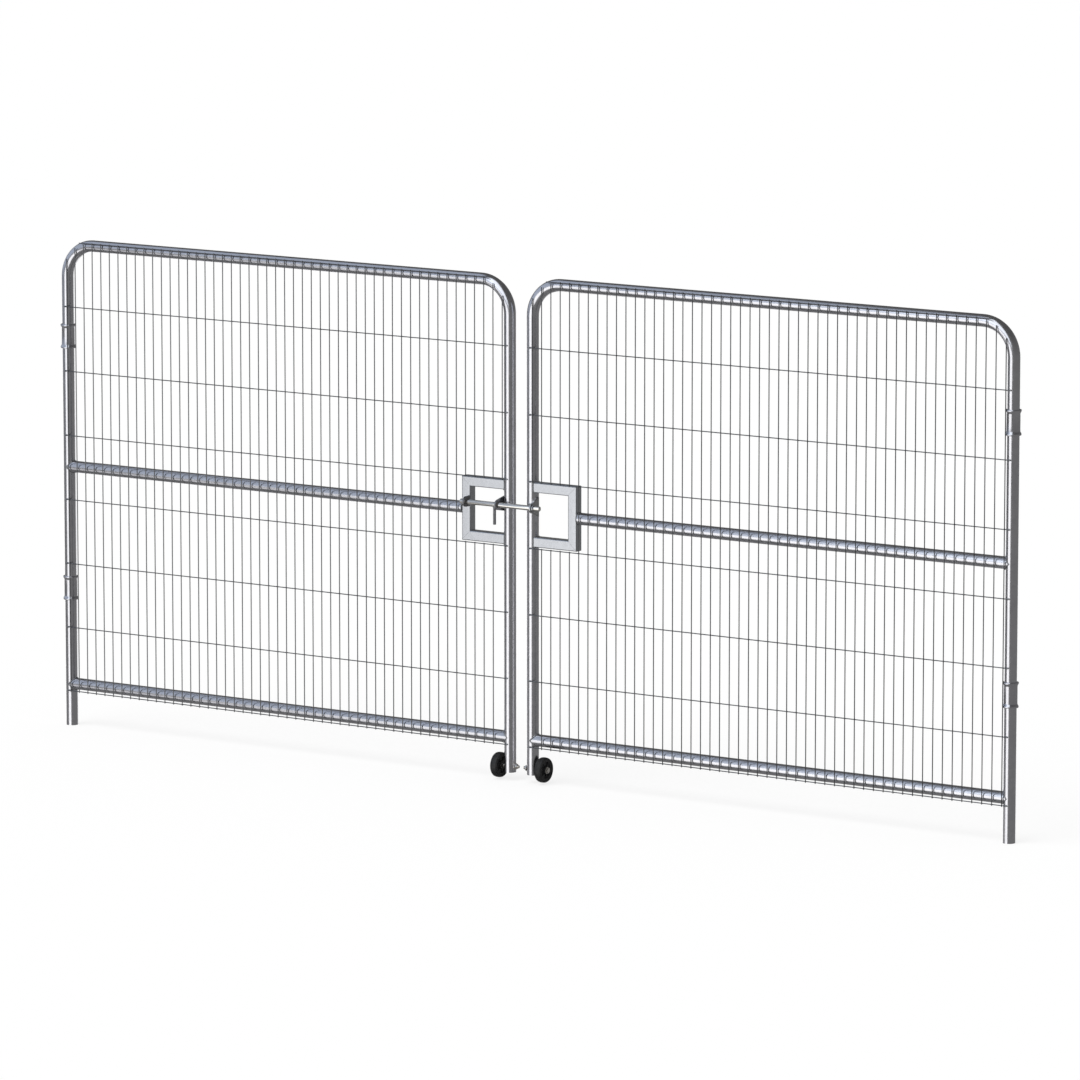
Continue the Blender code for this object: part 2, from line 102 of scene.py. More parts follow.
def addToScene(name, data):
    item = bpy.data.objects.new(name, data)
    bpy.context.collection.objects.link(item)
    return item


def editAll(piece):
    pickUp(piece)
    bpy.ops.object.mode_set(mode="EDIT")
    bpy.ops.mesh.select_all(action="SELECT")


def leaveEdit():
    bpy.ops.object.mode_set(mode="OBJECT")


def extrudeBy(x, y, z):
    bpy.ops.mesh.extrude_region_move(TRANSFORM_OT_translate={"value": (x, y, z)})


def smoothBy(angle):
    bpy.ops.object.shade_smooth_by_angle(angle=radians(angle))


def closeUp(piece, angle=32, merge=0.00001):
    editAll(piece)
    bpy.ops.mesh.remove_doubles(threshold=merge)
    bpy.ops.mesh.normals_make_consistent(inside=False)
    leaveEdit()
    smoothBy(angle)
    return piece


def roundEdges(piece, test, width, segments):
    # bevel the edges whose two ends pass the test
    pickUp(piece)
    mesh = piece.data
    for item in [*mesh.vertices, *mesh.polygons]:
        item.select = False
    for edge in mesh.edges:
        ends = [mesh.vertices[i] for i in edge.vertices]
        edge.select = bool(test(ends[0].co, ends[1].co))
        if edge.select:
            for end in ends:
                end.select = True
    bpy.ops.object.mode_set(mode="EDIT")
    bpy.ops.mesh.select_mode(type="EDGE")
    bpy.ops.mesh.bevel(offset=width, segments=segments, profile=0.5)
    leaveEdit()


def useModifier(piece, kind, **settings):
    pickUp(piece)
    modifier = piece.modifiers.new(kind.lower(), kind)
    for key, value in settings.items():
        setattr(modifier, key, value)
    bpy.ops.object.modifier_apply(modifier=modifier.name)
    return piece


def evenFaces(*pieces):
    # flat faces keep their own normal beside a rounded edge
    for piece in pieces:
        useModifier(piece, "WEIGHTED_NORMAL", keep_sharp=True, weight=60)


def combine(piece, tool, operation="DIFFERENCE"):
    # boolean with a shape that is then thrown away
    useModifier(piece, "BOOLEAN", object=tool, operation=operation, solver="EXACT")
    bpy.data.objects.remove(tool)
    return piece


def joinAll(pieces, name):
    deselectAll()
    for piece in pieces:
        piece.select_set(True)
    bpy.context.view_layer.objects.active = pieces[0]
    bpy.ops.object.join()
    return rename(pieces[0], name)


def copyOf(piece, name, shift=(0, 0, 0)):
    twin = addToScene(name, piece.data.copy())
    twin.data.transform(Matrix.Translation(shift))
    return rename(twin, name)


def flipAcross(piece, middleX):
    # mirror across an upright plane, with the faces turned back out
    swap = Matrix.Translation((2 * middleX, 0, 0)) @ Matrix.Scale(-1, 4, (1, 0, 0))
    piece.data.transform(swap)
    piece.data.flip_normals()
    return piece


def mirrorOf(piece, name):
    return flipAcross(copyOf(piece, name), gate["middleX"])


def roundBar(name, start, end, radius, sides):
    # a round bar between two points
    start, end = Vector(start), Vector(end)
    along = end - start
    bpy.ops.mesh.primitive_cylinder_add(vertices=sides, radius=radius, depth=along.length,
                                        location=(start + end) / 2,
                                        rotation=along.to_track_quat("Z", "Y").to_euler())
    piece = settle(bpy.context.object, name)
    smoothBy(35)
    return piece


def cubeBar(name, centre, size):
    bpy.ops.mesh.primitive_cube_add(size=1.0, location=centre)
    piece = bpy.context.object
    piece.scale = size
    return settle(piece, name)


def bothEnds(profile):
    # a profile given from its end to its middle, and its other half
    return profile + [(radius, -along) for radius, along in reversed(profile) if along > 0]


def turnedPiece(name, profile, centre, axis, steps):
    # profile points are (radius, distance along the axis), joined up and spun once round
    points = []
    for radius, along in profile:
        spot = Vector((radius, 0, along)) if axis == "Z" else Vector((along, 0, radius))
        points.append(Vector(centre) + spot)
    edges = [(i, (i + 1) % len(points)) for i in range(len(points))]
    mesh = bpy.data.meshes.new(name)
    mesh.from_pydata(points, edges, [])
    piece = addToScene(name, mesh)
    editAll(piece)
    turn = (0, 0, 1) if axis == "Z" else (1, 0, 0)
    bpy.ops.mesh.spin(steps=steps, angle=2 * pi, center=centre, axis=turn)
    leaveEdit()
    return closeUp(piece)


# how the thickness of a weld bead ripples, and how it drifts more slowly along the bead
beadShape = {"ripple": 0.16, "pitch": 0.0022, "drift": 0.10, "driftRate": 190, "driftStart": 40}


def beadAlong(name, points, thickness, closed=False):
    # a weld bead laid along a line of points, swelling and narrowing as it was laid
    line = bpy.data.curves.new(name, "CURVE")
    line.dimensions = "3D"
    line.bevel_depth = thickness
    line.bevel_resolution = 2
    line.use_fill_caps = True
    spline = line.splines.new("POLY")
    spline.points.add(len(points) - 1)
    start = points[0][2] * beadShape["driftStart"]
    run = 0.0
    previous = Vector(points[0])
    for knot, point in zip(spline.points, points):
        point = Vector(point)
        run += (point - previous).length
        previous = point
        knot.co = (*point, 1.0)
        knot.radius = 1.0 + beadShape["ripple"] * sin(2 * pi * run / beadShape["pitch"]) \
            + beadShape["drift"] * sin(run * beadShape["driftRate"] + start)
    spline.use_cyclic_u = closed
    pickUp(addToScene(name, line))
    bpy.ops.object.convert(target="MESH")
    return closeUp(bpy.context.object, angle=60, merge=0.000001)


def weldDots(name, places, size, y, segments, rings):
    # a squashed ball copied to each place, given as x and height
    bpy.ops.mesh.primitive_uv_sphere_add(segments=segments, ring_count=rings, radius=1.0,
                                         location=(0, y, 0))
    dot = bpy.context.object
    dot.scale = size
    settle(dot, "dot")
    bpy.ops.object.shade_smooth()
    dots = [copyOf(dot, "weld", (x, 0, atHeight(height))) for x, height in places]
    bpy.data.objects.remove(dot)
    return joinAll(dots, name)


# materials

class Field:
    # one value in a material's tree, which can be added, multiplied and so on
    def __init__(self, tree, socket):
        self.tree = tree
        self.socket = socket

    def maths(self, operation, other=None, turned=False):
        node = self.tree.nodes.new("ShaderNodeMath")
        node.operation = operation
        values = [self] if other is None else [self, other]
        if turned:
            values.reverse()
        for slot, value in zip(node.inputs, values):
            plugIn(self.tree, slot, value)
        return Field(self.tree, node.outputs[0])

    def __add__(self, other):
        return self.maths("ADD", other)

    def __radd__(self, other):
        return self.maths("ADD", other, True)

    def __sub__(self, other):
        return self.maths("SUBTRACT", other)

    def __rsub__(self, other):
        return self.maths("SUBTRACT", other, True)

    def __mul__(self, other):
        return self.maths("MULTIPLY", other)

    def __rmul__(self, other):
        return self.maths("MULTIPLY", other, True)

    def __truediv__(self, other):
        return self.maths("DIVIDE", other)

    def held(self):
        # kept between 0 and 1
        return self.maths("MAXIMUM", 0.0).maths("MINIMUM", 1.0)

    def between(self, low, high, soft):
        # 1 from low to high, fading over a width of soft
        return ((self - low) / soft + 0.5).held() * ((high - self) / soft + 0.5).held()


def plugIn(tree, slot, value):
    if isinstance(value, Field):
        tree.links.new(value.socket, slot)
    elif slot.type == "RGBA":
        slot.default_value = (*value, 1.0)
    else:
        slot.default_value = value


class Finish:
    # one material: its tree, its shader and what is plugged in
    def __init__(self, name, **constants):
        self.material = bpy.data.materials.new(name)
        self.material.use_nodes = True
        self.tree = self.material.node_tree
        self.shader = self.tree.nodes["Principled BSDF"]
        for key, value in constants.items():
            self.give(key.title(), value)
        self.place = self.node("ShaderNodeTexCoord", output="Object")

    def node(self, kind, inputs=None, output=0, **settings):
        node = self.tree.nodes.new(kind)
        for key, value in settings.items():
            setattr(node, key, value)
        for key, value in (inputs or {}).items():
            plugIn(self.tree, node.inputs[key], value)
        return Field(self.tree, node.outputs[output])

    def give(self, slot, value):
        plugIn(self.tree, self.shader.inputs[slot], value)

    def show(self, shader):
        # this shader goes to the surface instead of the usual one
        surface = self.tree.nodes["Material Output"].inputs["Surface"]
        self.tree.links.new(shader.socket, surface)

    def stretched(self, scale):
        return self.node("ShaderNodeMapping", {"Vector": self.place, "Scale": scale})

    def noise(self, scale, detail, roughness, where=None):
        return self.node("ShaderNodeTexNoise", {"Vector": where or self.place, "Scale": scale,
                                                "Detail": detail, "Roughness": roughness})

    def cells(self, scale, output):
        return self.node("ShaderNodeTexVoronoi", {"Vector": self.place, "Scale": scale}, output)

    def ramp(self, value, low, high):
        # 0 up to low, 1 from high on
        field = self.node("ShaderNodeValToRGB", {"Fac": value})
        for stop, place in zip(field.socket.node.color_ramp.elements, (low, high)):
            stop.position = place
        return field

    def shade(self, amount, dark, light):
        mixed = self.node("ShaderNodeMix", {0: amount, 6: dark, 7: light}, 2, data_type="RGBA")
        self.give("Base Color", mixed)

    def bump(self, height, strength, distance):
        self.give("Normal", self.node("ShaderNodeBump", {"Height": height, "Strength": strength,
                                                         "Distance": distance}))


# What all the zinc shares. Noise is given as scale, detail and roughness, bumps as strength
# and height, and shares say how much each pattern adds.
zinc = {
    "clouds": (5.0, 4.0, 0.55),
    "grain": (900.0, 2.0, 0.6),
    "streaks": (60.0, 3.0, 0.5),
    "streakScale": (1.0, 1.0, 0.06),
    "toneShares": {"clouds": 0.45, "streaks": 0.30, "plain": 0.12},
    "toneRange": (0.25, 0.80),
    "roughShares": {"clouds": 0.45, "crystal": 0.35, "grain": 0.20},
    "bumpShares": {"grain": 0.3, "crystal": 0.7},
    "bump": (0.08, 0.0004),
}

# two colours, the roughness and its spread, and the crystals' scale and share
zincKinds = {
    "galvanisedTube": {
        "dark": (0.69, 0.685, 0.715), "light": (0.81, 0.805, 0.835),
        "roughness": 0.15, "spread": 0.10, "scale": 62.0, "share": 0.35,
    },
    # the mesh wire's zinc: far darker than the tube's zinc, a painted shade on the thin wires
    "galvanisedWirePaintedShade": {
        "dark": (0.15, 0.152, 0.156), "light": (0.25, 0.253, 0.258),
        "roughness": 0.26, "spread": 0.14, "scale": 140.0, "share": 0.20,
    },
    "galvanisedSection": {
        "dark": (0.515, 0.528, 0.556), "light": (0.615, 0.628, 0.656),
        "roughness": 0.18, "spread": 0.10, "scale": 70.0, "share": 0.45,
    },
    "sleeveZinc": {
        "dark": (0.64, 0.636, 0.665), "light": (0.78, 0.776, 0.805),
        "roughness": 0.14, "spread": 0.09, "scale": 120.0, "share": 0.25,
    },
    # the bolt guides' and the handle's zinc: a darker copy of the section zinc, its low colours
    # a painted shade
    "lugZincPaintedShade": {
        "dark": (0.20, 0.20, 0.21), "light": (0.36, 0.36, 0.37),
        "roughness": 0.34, "spread": 0.16, "scale": 110.0, "share": 0.30,
    },
    # the keeper's zinc: a darker copy of the section zinc, its dark end a painted shade on the
    # keeper's face
    "keeperZincPaintedShade": {
        "dark": (0.40, 0.402, 0.41), "light": (0.66, 0.662, 0.67),
        "roughness": 0.17, "spread": 0.12, "scale": 110.0, "share": 0.30,
    },
}


def galvanised(name, dark, light, roughness, spread, scale, share):
    # slow clouds, flat crystals, lines from drawing and a fine grain
    finish = Finish(name, metallic=1.0)
    clouds = finish.noise(*zinc["clouds"])
    crystal = finish.node("ShaderNodeRGBToBW", {"Color": finish.cells(scale, "Color")})
    grain = finish.noise(*zinc["grain"])
    streaks = finish.noise(*zinc["streaks"], finish.stretched(zinc["streakScale"]))
    tones, roughs, bumps = zinc["toneShares"], zinc["roughShares"], zinc["bumpShares"]
    tone = clouds * tones["clouds"] + crystal * share + streaks * tones["streaks"] \
        + (1 - share) * tones["plain"]
    finish.shade(finish.ramp(tone, *zinc["toneRange"]), dark, light)
    uneven = roughs["clouds"] * clouds + roughs["crystal"] * crystal + roughs["grain"] * grain
    finish.give("Roughness", roughness + spread * uneven)
    finish.bump(grain * bumps["grain"] + crystal * bumps["crystal"], *zinc["bump"])
    return finish.material


# The other finishes. Roughness is a base, then the shares that the patches and the relief add.
otherKinds = {
    # rippled bead with a cold-galvanised coat
    "weldBead": {
        "metallic": 0.9, "dark": (0.26, 0.265, 0.27), "light": (0.50, 0.505, 0.51),
        "patches": (70.0, 3.0, 0.6), "patchRange": (0.30, 0.72), "relief": (420.0, 2.0, 0.5),
        "roughness": (0.36, 0.0, 0.22), "bump": (0.35, 0.0006),
    },
    # bright plated bar and bolts, with fine lines from drawing
    "platedSteel": {
        "metallic": 1.0, "dark": (0.83, 0.80, 0.75), "light": (0.95, 0.92, 0.87),
        "patches": (26.0, 4.0, 0.6), "patchRange": (0.32, 0.70), "relief": (240.0, 2.0, 0.5),
        "reliefScale": (0.2, 3.0, 3.0), "roughness": (0.09, 0.08, 0.03), "bump": (0.03, 0.0002),
    },
    # black tread with dust in the crown
    "blackRubber": {
        "metallic": 0.0, "dark": (0.009, 0.009, 0.010), "light": (0.034, 0.033, 0.032),
        "patches": (45.0, 5.0, 0.62), "patchRange": (0.45, 0.85), "relief": (1100.0, 2.0, 0.6),
        "roughness": (0.40, 0.24, 0.0), "bump": (0.18, 0.0004),
    },
    # moulded black plastic with a fine moulded texture
    "blackHub": {
        "metallic": 0.0, "dark": (0.012, 0.012, 0.013), "light": (0.024, 0.024, 0.025),
        "patches": (30.0, 3.0, 0.5), "cells": 1300.0,
        "roughness": (0.34, 0.16, 0.0), "bump": (0.12, 0.0003),
    },
}


def patchy(name, look):
    # two colours in slow patches, under a fine relief
    finish = Finish(name, metallic=look["metallic"])
    patches = finish.noise(*look["patches"])
    if "cells" in look:
        relief = finish.cells(look["cells"], "Distance")
    else:
        where = finish.stretched(look["reliefScale"]) if "reliefScale" in look else None
        relief = finish.noise(*look["relief"], where)
    amount = finish.ramp(patches, *look["patchRange"]) if "patchRange" in look else patches
    finish.shade(amount, look["dark"], look["light"])
    base, patchShare, reliefShare = look["roughness"]
    finish.give("Roughness", base + patchShare * patches + reliefShare * relief)
    finish.bump(relief, *look["bump"])
    return finish.material


# the wire, lug and keeper zinc are darkened copies of the zinc, which carry painted shade
tubeZinc, wireZincPaintedShade, sectionZinc, sleeveZinc, lugZincPaintedShade, keeperZincPaintedShade = (
    galvanised(name, **look) for name, look in zincKinds.items())
weldZinc, platedSteel, blackRubber, blackHub = (
    patchy(name, look) for name, look in otherKinds.items())


def dress(piece, material):
    piece.data.materials.clear()
    piece.data.materials.append(material)


def fit(piece, body, slot, material, *nodes):
    # finish, body, slot and the solids that it stands for
    dress(piece, material)
    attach(piece, body)
    if nodes:
        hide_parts(*nodes)


def bothLeaves(piece, name, slot, material, node=None):
    # the left piece as it is, and its mirror image on the right leaf
    other = mirrorOf(piece, "right" + name)
    rename(piece, "left" + name)
    for side, item in (("left", piece), ("right", other)):
        nodes = [f"{side}_{node}"] if node else []
        fit(item, side + "_leaf", slot, material, *nodes)
    return piece, other


print("materials made")

# the bent frame of each leaf
bentFrame = {"sides": 40, "bendSteps": 20, "smooth": 32}


def makeBentFrame():
    left, right = gate["leftHingeX"], gate["leftMeetingX"]
    bend = gate["bendRadius"]
    turnZ = atHeight(gate["height"] - gate["tubeRadius"] - bend)

    def quarterTurn(centreX):
        bpy.ops.mesh.spin(steps=bentFrame["bendSteps"], angle=-pi / 2,
                          center=(centreX, 0, turnZ), axis=(0, 1, 0))

    bpy.ops.mesh.primitive_circle_add(vertices=bentFrame["sides"], radius=gate["tubeRadius"],
                                      location=(left, 0, gate["feetZ"]), fill_type="NOTHING")
    piece = settle(bpy.context.object, "leftBentFrame")
    editAll(piece)
    extrudeBy(0, 0, turnZ - gate["feetZ"])
    quarterTurn(left + bend)
    extrudeBy(right - left - 2 * bend, 0, 0)
    quarterTurn(right - bend)
    extrudeBy(0, 0, atHeight(gate["meetingLift"]) - turnZ)
    leaveEdit()
    closeUp(piece, bentFrame["smooth"])
    useModifier(piece, "SOLIDIFY", thickness=gate["tubeWall"], offset=-1)
    smoothBy(bentFrame["smooth"])
    return piece


bothLeaves(makeBentFrame(), "BentFrame", "galvanised_tube", tubeZinc, "frame_tube")
print("bent frames made")

# rails, notched to sit round the posts, and the shape that notches them
rails = {
    "sides": 40,
    "postSides": 48,
    "postTop": 1.4,
    "postClear": 0.0001,
    "lockGap": 0.0002,
    "bead": 0.0026,
    "beadSteps": 72,
    "beadSpread": 1.01,
    "beadGap": 0.0004,
    "ringSteps": 64,
    "ringShare": 0.9,
    "ringGap": 0.0006,
}


def cope(piece, postX):
    # cut to the round of a post
    post = roundBar("postShape", (postX, 0, gate["feetZ"]), (postX, 0, rails["postTop"]),
                    gate["tubeRadius"] + rails["postClear"], rails["postSides"])
    combine(piece, post)


def saddlePoints(postX, railZ, side):
    # the line where a round rail meets a post of the same size
    radius, spread = gate["tubeRadius"], rails["beadSpread"]
    points = []
    for turn in roundTurns(rails["beadSteps"]):
        y = radius * cos(turn)
        reach = sqrt(max(radius ** 2 - y ** 2, 0.0)) + rails["beadGap"]
        points.append((postX + side * reach, y * spread, railZ + radius * sin(turn) * spread))
    return points


def makeRails():
    left, right = gate["leftHingeX"], gate["leftMeetingX"]
    radius = gate["tubeRadius"]
    midZ, lowZ = atHeight(gate["midRail"]), atHeight(gate["bottomRail"])
    lockX = right - gate["lockReach"]
    mid = roundBar("leftMidRail", (left, 0, midZ), (lockX - rails["lockGap"], 0, midZ),
                   radius, rails["sides"])
    low = roundBar("leftBottomRail", (left, 0, lowZ), (right, 0, lowZ), radius, rails["sides"])
    for rail, postX in ((mid, left), (low, left), (low, right)):
        cope(rail, postX)
    for rail, name, node in ((mid, "MidRail", "mid_rail"), (low, "BottomRail", "bottom_rail")):
        bothLeaves(closeUp(rail), name, "galvanised_tube", tubeZinc, node)
    lines = [saddlePoints(left, midZ, 1), saddlePoints(left, lowZ, 1),
             saddlePoints(right, lowZ, -1)]
    beads = [beadAlong("bead", line, rails["bead"], True) for line in lines]
    spread = radius * rails["beadSpread"]
    ring = [(lockX - rails["ringGap"], spread * cos(turn), midZ + spread * sin(turn))
            for turn in roundTurns(rails["ringSteps"])]
    beads.append(beadAlong("bead", ring, rails["bead"] * rails["ringShare"], True))
    bothLeaves(joinAll(beads, "leftRailBeads"), "RailBeads", "galvanised_tube", weldZinc)


makeRails()
print("rails made")

# welded mesh on the front of each leaf
meshPanel = {
    "wireRadius": 0.0021,
    "sides": 8,
    "wires": 50,
    "inset": 0.0165,
    "rows": 8,
    "lowestRow": 0.145,
    "topRow": 1.9881,
    "overhang": 0.004,
    "rowY": -0.0266,
    "wireY": -0.0298,
    "rowEnd": 0.001,
    "bendEnd": 0.007,
    "weldSize": (0.0030, 0.0017, 0.0028),
    "weldSides": (6, 4),
    "postWeldSize": (0.0085, 0.0026, 0.0036),
    "postWeldSides": (12, 8),
    "postWeldY": -0.0252,
    "postWeldInset": 0.002,
}


def rowHeights():
    return evenly(meshPanel["lowestRow"], meshPanel["topRow"], meshPanel["rows"] - 1)


def wireTop(inset):
    # a wire ends past the top row, or lower down where the tube bends away
    bend = gate["bendRadius"]
    reach = meshPanel["topRow"] + meshPanel["overhang"]
    if inset >= bend:
        return reach
    rise = gate["height"] - gate["tubeRadius"] - bend + sqrt(bend ** 2 - (bend - inset) ** 2)
    return min(reach, rise + gate["tubeRadius"] / 2)


def rowInset(height):
    # how far in from the post's axis a row ends
    bend, radius = gate["bendRadius"], gate["tubeRadius"]
    centre = gate["height"] - radius - bend
    if height <= centre:
        return meshPanel["rowEnd"]
    return bend - sqrt((bend + radius) ** 2 - (height - centre) ** 2) + meshPanel["bendEnd"]


def wireSpans(inset, fromMeeting):
    # from foot to head, or in two lengths where the hand opening is
    foot = meshPanel["lowestRow"] - meshPanel["overhang"]
    head = wireTop(min(inset, fromMeeting))
    if fromMeeting >= gate["lockReach"]:
        return [(foot, head)]
    below = max(height for height in rowHeights() if height < gate["midRail"])
    above = min(height for height in rowHeights() if height > gate["midRail"])
    spans = [(above - meshPanel["overhang"], head)]
    if fromMeeting > gate["tubeRadius"]:
        spans.append((foot, below + meshPanel["overhang"]))
    return spans


def makeMeshPanels():
    left, right = gate["leftHingeX"], gate["leftMeetingX"]
    width = right - left
    radius, sides = meshPanel["wireRadius"], meshPanel["sides"]
    wires = []
    crossings = []
    for inset in evenly(meshPanel["inset"], width - meshPanel["inset"], meshPanel["wires"] - 1):
        spot = (left + inset, meshPanel["wireY"])
        for low, high in wireSpans(inset, width - inset):
            wires.append(roundBar("wire", (*spot, atHeight(low)), (*spot, atHeight(high)),
                                  radius, sides))
            crossings += [(left + inset, row) for row in rowHeights() if low < row < high]
    for height in rowHeights():
        end = rowInset(height)
        wires.append(roundBar("wire", (left + end, meshPanel["rowY"], atHeight(height)),
                              (right - end, meshPanel["rowY"], atHeight(height)), radius, sides))
    panel = joinAll(wires, "leftMeshPanel")
    # pressed welds where the wires cross
    middleY = (meshPanel["rowY"] + meshPanel["wireY"]) / 2
    spots = weldDots("leftMeshWelds", crossings, meshPanel["weldSize"], middleY,
                     *meshPanel["weldSides"])
    # the wires and their welds wear the darkened wire zinc, a painted shade
    bothLeaves(panel, "MeshPanel", "galvanised_wire", wireZincPaintedShade, "mesh_panel")
    bothLeaves(spots, "MeshWelds", "galvanised_wire", wireZincPaintedShade)
    # short welds that hold the rows to the posts
    inset = meshPanel["postWeldInset"]
    ends = [(x, row) for row in rowHeights()[:-1] for x in (left + inset, right - inset)]
    welds = weldDots("leftRowWelds", ends, meshPanel["postWeldSize"], meshPanel["postWeldY"],
                     *meshPanel["postWeldSides"])
    bothLeaves(welds, "RowWelds", "galvanised_tube", weldZinc)
    return len(crossings)


weldCount = makeMeshPanels()
print("mesh panels made,", weldCount, "welds a leaf")

# square lock frame round the hand opening
lockFrame = {
    "section": 0.040,
    "height": 0.256,
    "corner": 0.0045,
    "cornerSteps": 5,
    "smooth": 28,
    "seam": 0.0004,
    "bead": 0.0021,
    "beadGap": 0.0006,
    "acrossSteps": 24,
    "upSteps": 18,
}


def squareBar(name, centre, size, longAxis):
    # a square bar with its four long edges rounded
    bar = cubeBar(name, centre, size)
    roundEdges(bar, lambda a, b: abs((b - a)[longAxis]) > 0.5 * size[longAxis],
               lockFrame["corner"], lockFrame["cornerSteps"])
    return bar


def mitre(bar, corner, normal):
    # cut the end off at 45 degrees and close it
    editAll(bar)
    bpy.ops.mesh.bisect(plane_co=corner, plane_no=normal, use_fill=True, clear_outer=True)
    leaveEdit()


def makeLockFrame():
    right, radius = gate["leftMeetingX"], gate["tubeRadius"]
    section, seam = lockFrame["section"], lockFrame["seam"]
    half = section / 2
    outerX = right - gate["lockReach"]
    centreZ = atHeight(gate["midRail"])
    topZ = centreZ + lockFrame["height"] / 2
    lowZ = centreZ - lockFrame["height"] / 2
    bars = {}
    for name, edgeZ, up in (("Top", topZ, 1), ("Bottom", lowZ, -1)):
        bar = squareBar("lock" + name, ((outerX + right) / 2, 0, edgeZ - up * half),
                        (right - outerX, section, section), 0)
        mitre(bar, (outerX + seam, 0, edgeZ), (-1, 0, -up))
        cope(bar, right)
        bars[name] = bar
    side = squareBar("lockSide", (outerX + half, 0, centreZ),
                     (section, section, lockFrame["height"]), 2)
    mitre(side, (outerX, 0, topZ - seam), (1, 0, 1))
    mitre(side, (outerX, 0, lowZ + seam), (1, 0, -1))
    bars["Side"] = side
    for name, bar in bars.items():
        closeUp(bar, lockFrame["smooth"])
        evenFaces(*bothLeaves(bar, f"Lock{name}Bar", "galvanised_section", sectionZinc,
                              f"lock_{name.lower()}_bar"))

    def atPost(y, z):
        return (right - sqrt(radius ** 2 - y ** 2) - lockFrame["beadGap"], y, z)

    # welds to the post, along the four sides of each bar
    lines = []
    for low in (topZ - section, lowZ):
        high = low + section
        across = evenly(-half, half, lockFrame["acrossSteps"])
        lines += [[atPost(y, z) for y in across] for z in (low, high)]
        upwards = evenly(low, high, lockFrame["upSteps"])
        lines += [[atPost(y, z) for z in upwards] for y in (-half, half)]
    beads = joinAll([beadAlong("bead", line, lockFrame["bead"]) for line in lines],
                    "leftLockBeads")
    bothLeaves(beads, "LockBeads", "galvanised_section", weldZinc)


makeLockFrame()
print("lock frames made")

# Bolt, guides and keeper. Points of the bush and the ends are radius and distance from where
# each starts. A base is where the lug ends in depth and how tall it is there. A weld is how
# far it stands past the lug's foot, its depth and half its height.
boltSet = {
    "radius": 0.010,
    "forward": 0.048,
    "height": 1.0985,
    "tail": 0.200,
    "reach": 0.1706,
    "tailEnd": [(0.0002, 0.0), (0.0086, 0.0), (0.0096, 0.0006), (0.010, 0.0016)],
    "tipEnd": [(0.010, 0.0040), (0.0092, 0.0016), (0.0074, 0.0004), (0.0002, 0.0)],
    "barSides": 40,
    "handleTop": [(0.0002, -0.0092), (0.006, -0.0092)],
    "handleEnd": [(0.006, 0.0030), (0.0055, 0.0013), (0.0042, 0.0003), (0.0002, 0.0)],
    "handleDrop": 0.080,
    "handleSetback": 0.041,
    "handleSides": 28,
    "collar": 0.0063,
    "collarSteps": 32,
    "collarBead": 0.0013,
    "lugThickness": 0.006,
    "lugEdge": 0.0009,
    "nose": 0.0205,
    "noseSteps": 20,
    "boreClear": 0.0009,
    "borePast": 0.010,
    "boreSides": 32,
    "outerBase": (-0.0203, 0.043),
    "innerBase": (0.006, 0.062),
    "keeperBase": (-0.002, 0.078),
    "bush": [(0.0110, 0.0), (0.0110, 0.0075), (0.0114, 0.0080), (0.0142, 0.0080),
             (0.0150, 0.0072), (0.0150, 0.0)],
    "bead": 0.0017,
    "beadSteps": 26,
    "outerWelds": [(-0.0004, -0.0206, 0.0215)],
    "innerWelds": [(-0.0015, -0.0062, 0.024), (-0.0015, 0.0066, 0.030)],
    "keeperWelds": [(-0.0004, -0.0072, 0.031), (0.0010, -0.0010, 0.038)],
}


def onBolt(x):
    # a point on the axis of the bolt
    return (x, -boltSet["forward"], atHeight(boltSet["height"]))


def lugPoints(baseY, baseHeight):
    # round nose about the bolt, straight sides back to the base
    height, nose = atHeight(boltSet["height"]), boltSet["nose"]
    run = baseY + boltSet["forward"]
    rise = baseHeight / 2
    start = atan2(rise, run) + acos(nose / hypot(run, rise))
    points = [(baseY, height - rise), (baseY, height + rise)]
    for turn in evenly(start, 2 * pi - start, boltSet["noseSteps"]):
        points.append((nose * cos(turn) - boltSet["forward"], height + nose * sin(turn)))
    return points


def makeLug(name, lowX, base):
    outline = [(lowX, y, z) for y, z in lugPoints(*base)]
    mesh = bpy.data.meshes.new(name)
    mesh.from_pydata(outline, [], [list(range(len(outline)))])
    lug = addToScene(name, mesh)
    thick, past = boltSet["lugThickness"], boltSet["borePast"]
    editAll(lug)
    extrudeBy(thick, 0, 0)
    bpy.ops.mesh.select_all(action="SELECT")
    bpy.ops.mesh.normals_make_consistent(inside=False)
    leaveEdit()
    hole = roundBar("holeShape", onBolt(lowX - past), onBolt(lowX + thick + past),
                    boltSet["radius"] + boltSet["boreClear"], boltSet["boreSides"])
    combine(lug, hole)
    useModifier(lug, "BEVEL", width=boltSet["lugEdge"], segments=2, limit_method="ANGLE",
                angle_limit=radians(40))
    evenFaces(closeUp(lug, angle=30))
    return lug


def lugFeet():
    # where the outer guide, the inner guide and the keeper are welded on
    meeting, radius = gate["leftMeetingX"], gate["tubeRadius"]
    outerX = meeting - gate["lockReach"] + lockFrame["section"] - boltSet["lugThickness"]
    return outerX, meeting - radius, acrossGate(meeting) + radius


def makeLugs():
    thick = boltSet["lugThickness"]
    outerX, innerX, keeperX = lugFeet()
    # the guides wear the darkened lug zinc, a painted shade
    outer = makeLug("leftOuterBoltGuide", outerX, boltSet["outerBase"])
    fit(outer, "left_leaf", "galvanised_section", lugZincPaintedShade, "left_outer_bolt_guide")
    inner = makeLug("leftInnerBoltGuide", innerX - gate["seat"] - thick, boltSet["innerBase"])
    fit(inner, "left_leaf", "galvanised_section", lugZincPaintedShade, "left_inner_bolt_guide")
    keeper = makeLug("rightBoltKeeper", keeperX + gate["seat"], boltSet["keeperBase"])
    bush = turnedPiece("bush", boltSet["bush"], onBolt(keeperX + gate["seat"] + thick), "X",
                       boltSet["barSides"])
    keeper = joinAll([keeper, bush], "rightBoltKeeper")
    # the keeper wears a darkened copy of the section zinc, a painted shade
    fit(keeper, "right_leaf", "galvanised_section", keeperZincPaintedShade, "right_bolt_keeper")


